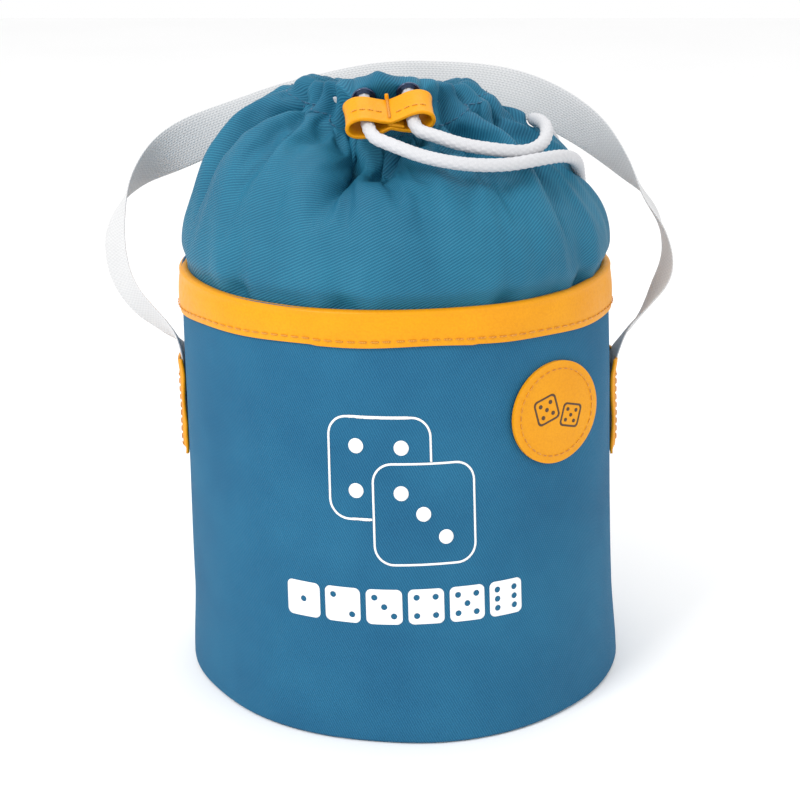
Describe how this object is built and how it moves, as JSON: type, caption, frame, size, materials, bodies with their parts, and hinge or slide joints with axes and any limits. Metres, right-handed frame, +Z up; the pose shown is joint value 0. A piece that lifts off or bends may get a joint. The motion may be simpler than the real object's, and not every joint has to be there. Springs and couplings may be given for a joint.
{
  "type": "set of yard dice in a drawstring carry bag",
  "caption": "Round drawstring carry bag holding large wooden yard dice, with a webbing strap, gathered collar, sliding cord lock and stitched trim.",
  "frame": {"origin": "centre of the bag's flat underside, where it stands on the ground", "axes": "+Z up; the screen-printed front faces -Y; the carry strap's tabs lie at -X and +X"},
  "size_m": [0.2463, 0.1908, 0.2615],
  "materials": {
    "body_cloth": "fine twill, matte",
    "collar_cloth": "twill with a soft sheen",
    "lining_cloth": "plain weave, matte",
    "padding_foam": "foam, matte",
    "base_board": "matte",
    "yellow_leather": "fine grain, satin",
    "yellow_thread": "twisted thread",
    "strap_webbing": "ribbed weave, matte",
    "cord_braid": "round braid, matte",
    "eyelet_metal": "gloss",
    "die_wood": "sanded, satin",
    "print_white": "screen print, matte",
    "motif_ink": "pressed ink, matte"
  },
  "bodies": {
    "bag": {"base_panel": "body_cloth", "base_board": "base_board", "base_lining": "lining_cloth", "outer_wall": "body_cloth", "wall_padding": "padding_foam", "wall_lining": "lining_cloth", "rim_binding": "yellow_leather", "collar": "collar_cloth", "hem_casing": "collar_cloth", "eyelet_left": "eyelet_metal", "eyelet_right": "eyelet_metal", "drawcord_loop": "cord_braid", "cord_tail_left": "cord_braid", "cord_tail_right": "cord_braid", "cord_knot_left": "cord_braid", "cord_knot_right": "cord_braid", "strap_root_left": "strap_webbing", "strap_root_right": "strap_webbing", "strap_tab_left": "yellow_leather", "strap_tab_right": "yellow_leather", "side_patch": "yellow_leather"},
    "carry_strap": {"strap": "strap_webbing"},
    "slider": {"slider_band": "yellow_leather", "slider_tack": "yellow_thread"},
    "die_1_body": {"die_1": "die_wood"},
    "die_2_body": {"die_2": "die_wood"},
    "die_3_body": {"die_3": "die_wood"},
    "die_4_body": {"die_4": "die_wood"},
    "die_5_body": {"die_5": "die_wood"},
    "die_6_body": {"die_6": "die_wood"}
  },
  "joints": [
    {"name": "strap_swing", "type": "hinge", "parent": "bag", "child": "carry_strap", "pos_m": [0, 0, 0.14], "axis": [1, 0, 0], "range_deg": [-90, 0]},
    {"name": "slider_slide", "type": "slide", "parent": "bag", "child": "slider", "axis": [0.0995, -0.8603, -0.5], "range_m": [0, 0.02], "deforming": ["cord_tail_left", "cord_tail_right"]},
    {"name": "die_1_lift", "type": "slide", "parent": "bag", "child": "die_1_body", "axis": [0, 0, 1], "range_m": [0, 0.005]},
    {"name": "die_2_lift", "type": "slide", "parent": "bag", "child": "die_2_body", "axis": [0, 0, 1], "range_m": [0, 0.005]},
    {"name": "die_3_lift", "type": "slide", "parent": "bag", "child": "die_3_body", "axis": [0, 0, 1], "range_m": [0, 0.005]},
    {"name": "die_4_lift", "type": "slide", "parent": "die_1_body", "child": "die_4_body", "axis": [0, 0, 1], "range_m": [0, 0.007]},
    {"name": "die_5_lift", "type": "slide", "parent": "die_2_body", "child": "die_5_body", "axis": [0, 0, 1], "range_m": [0, 0.007]},
    {"name": "die_6_lift", "type": "slide", "parent": "die_3_body", "child": "die_6_body", "axis": [0, 0, 1], "range_m": [0, 0.007]}
  ]
}
